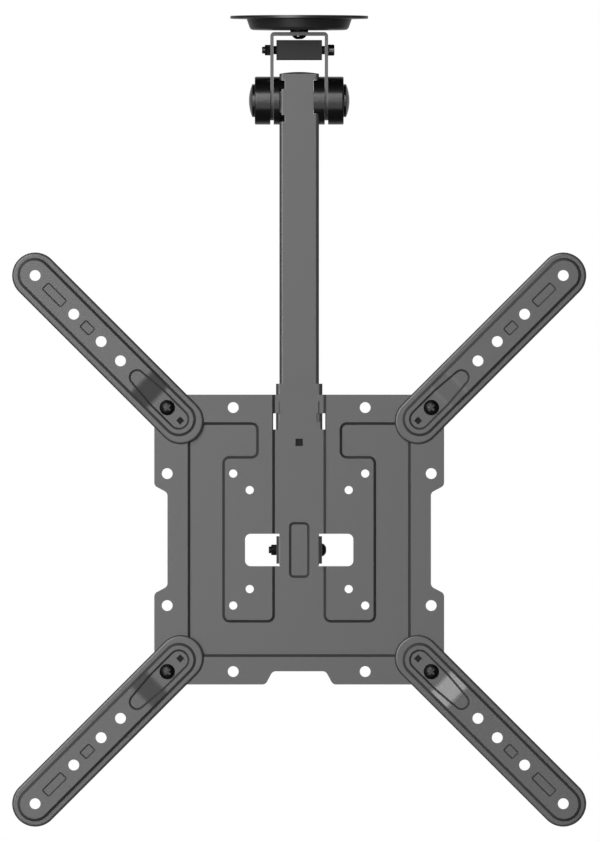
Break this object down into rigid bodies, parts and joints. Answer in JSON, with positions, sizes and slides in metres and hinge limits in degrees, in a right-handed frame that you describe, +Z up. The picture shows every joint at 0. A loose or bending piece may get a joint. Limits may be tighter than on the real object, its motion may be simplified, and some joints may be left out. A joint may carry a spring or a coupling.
{
  "type": "tv ceiling mount",
  "caption": "Fold-down ceiling mount for a flat screen: swivelling yoke, folding channel post, tilting pressed plate and swinging arms with standard screen hole patterns.",
  "frame": {"origin": "centre of the flange's face that meets the ceiling", "axes": "+Z up to the ceiling, along the swivel; +X along the fold and tilt axes; the screen hangs on the -Y side"},
  "size_m": [0.435, 0.1046, 0.6145],
  "materials": {
    "coated_steel": "satin dark grey powder coat",
    "black_moulding": "moulded black, satin",
    "black_fastener": "black oxide",
    "zinc_steel": "bright zinc plate"
  },
  "bodies": {
    "ceiling": {"ceiling_plate": "coated_steel", "swivel_spacer": "black_moulding", "swivel_washer": "zinc_steel", "swivel_nut": "zinc_steel", "swivel_bolt": "black_fastener"},
    "yoke": {"yoke": "coated_steel", "stop_block": "black_moulding", "cross_collars": "black_moulding", "cross_bolt": "black_fastener", "cross_nut": "black_fastener", "left_hinge_cover": "black_moulding", "right_hinge_cover": "black_moulding", "left_hinge_cap": "black_moulding", "right_hinge_cap": "black_moulding", "hinge_washers": "zinc_steel", "hinge_bolt": "zinc_steel", "hinge_nut": "zinc_steel"},
    "post": {"post": "coated_steel", "left_bushing": "black_moulding", "right_bushing": "black_moulding", "hinge_sleeve": "zinc_steel", "tilt_sleeve": "zinc_steel", "tilt_lock_washers": "zinc_steel", "tilt_lock_bolt": "zinc_steel", "tilt_lock_nut": "zinc_steel"},
    "plate": {"screen_plate": "coated_steel", "guide_bracket": "coated_steel", "tilt_bolt": "black_fastener", "tilt_nut": "black_fastener", "arm_screws": "black_fastener", "arm_nuts": "zinc_steel"},
    "upper_left_arm": {"upper_left_arm": "coated_steel"},
    "upper_right_arm": {"upper_right_arm": "coated_steel"},
    "lower_left_arm": {"lower_left_arm": "coated_steel"},
    "lower_right_arm": {"lower_right_arm": "coated_steel"}
  },
  "joints": [
    {"name": "swivel", "type": "hinge", "parent": "ceiling", "child": "yoke", "pos_m": [0, 0, 0], "axis": [0, 0, 1], "continuous": true},
    {"name": "fold", "type": "hinge", "parent": "yoke", "child": "post", "pos_m": [0, 0, -0.0642], "axis": [1, 0, 0], "range_deg": [0, 90]},
    {"name": "tilt", "type": "hinge", "parent": "post", "child": "plate", "pos_m": [0, -0.003, -0.4049], "axis": [1, 0, 0], "range_deg": [0, 15]},
    {"name": "upper_left_swing", "type": "hinge", "parent": "plate", "child": "upper_left_arm", "pos_m": [-0.1, -0.0226, -0.297], "axis": [0, -1, 0], "range_deg": [-45, 45]},
    {"name": "upper_right_swing", "type": "hinge", "parent": "plate", "child": "upper_right_arm", "pos_m": [0.1, -0.0226, -0.297], "axis": [0, -1, 0], "range_deg": [-45, 45]},
    {"name": "lower_left_swing", "type": "hinge", "parent": "plate", "child": "lower_left_arm", "pos_m": [-0.1, -0.0226, -0.497], "axis": [0, -1, 0], "range_deg": [-45, 45]},
    {"name": "lower_right_swing", "type": "hinge", "parent": "plate", "child": "lower_right_arm", "pos_m": [0.1, -0.0226, -0.497], "axis": [0, -1, 0], "range_deg": [-45, 45]}
  ]
}
